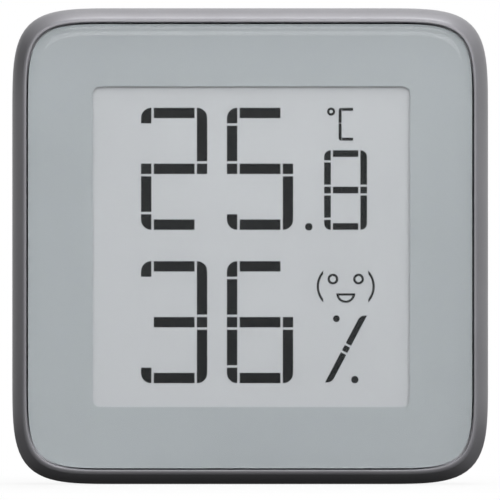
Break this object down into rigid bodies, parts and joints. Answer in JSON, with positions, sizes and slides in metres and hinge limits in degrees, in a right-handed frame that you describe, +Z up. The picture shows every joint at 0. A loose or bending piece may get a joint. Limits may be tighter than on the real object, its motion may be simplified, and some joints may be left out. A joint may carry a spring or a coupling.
{
  "type": "temperature humidity sensor",
  "caption": "Square room sensor that shows temperature and humidity on an e-paper display, with a fold-out stand, twist-open battery door, rear button and magnetic back.",
  "frame": {"origin": "middle of the base, on the surface that the sensor stands on", "axes": "+Z up, -Y out of the screen towards the viewer, +X to the viewer's right"},
  "size_m": [0.062, 0.018, 0.062],
  "materials": {
    "frame_plastic": "moulded, fine satin texture",
    "cover_plastic": "moulded, fine satin texture",
    "lens_clear": "clear acrylic with a polished, rounded edge",
    "mask_print": "grey ink printed behind the lens",
    "foam_black": "black foam and adhesive tape",
    "epaper_white": "pale grey e-paper film with dark figures",
    "display_glass": "thin display glass",
    "flex_polyimide": "amber polyimide ribbon",
    "socket_plastic": "cream socket moulding",
    "carrier_plastic": "natural moulded plastic",
    "board_laminate": "green solder mask on laminate",
    "screw_steel": "zinc-plated steel",
    "chip_black": "black moulding compound",
    "can_nickel": "nickel plate",
    "trace_copper": "copper under solder mask",
    "chip_ceramic": "tan ceramic",
    "plunger_plastic": "red moulded plunger",
    "button_plastic": "moulded, satin",
    "holder_plastic": "black moulded plastic",
    "contact_bronze": "gold-plated spring bronze",
    "cell_steel": "stainless steel can",
    "pad_rubber": "black rubber",
    "membrane_cloth": "pale membrane"
  },
  "bodies": {
    "housing": {"front_frame": "frame_plastic", "rear_cover": "cover_plastic", "front_lens": "lens_clear", "mask_film": "mask_print", "lens_tape": "foam_black", "display_gasket": "foam_black", "display_foam": "foam_black", "epaper_film": "epaper_white", "backplane": "display_glass", "display_flex": "flex_polyimide", "flex_connector": "socket_plastic", "display_carrier": "carrier_plastic", "circuit_board": "board_laminate", "board_screws": "screw_steel", "hinge_pin": "screw_steel", "radio_chip": "chip_black", "climate_sensor": "chip_black", "crystal": "can_nickel", "magnets": "can_nickel", "switch_body": "can_nickel", "antenna_trace": "trace_copper", "chip_parts": "chip_ceramic", "battery_holder": "holder_plastic", "positive_contact": "contact_bronze", "negative_contact": "contact_bronze", "coin_cell": "cell_steel", "vent_membrane": "membrane_cloth"},
    "door": {"battery_door": "cover_plastic"},
    "stand": {"stand_leg": "cover_plastic", "stand_pad": "pad_rubber"},
    "button": {"unit_button": "button_plastic", "switch_plunger": "plunger_plastic"}
  },
  "joints": [
    {"name": "door_turn", "type": "hinge", "parent": "housing", "child": "door", "pos_m": [0, 0.009, 0.041], "axis": [0, 1, 0], "range_deg": [0, 40]},
    {"name": "stand_fold", "type": "hinge", "parent": "housing", "child": "stand", "pos_m": [0, 0.00724, 0.02378], "axis": [1, 0, 0], "range_deg": [0, 50]},
    {"name": "button_press", "type": "slide", "parent": "housing", "child": "button", "axis": [0, -1, 0], "range_m": [0, 0.0003], "stiffness_N_per_m": 1200}
  ]
}
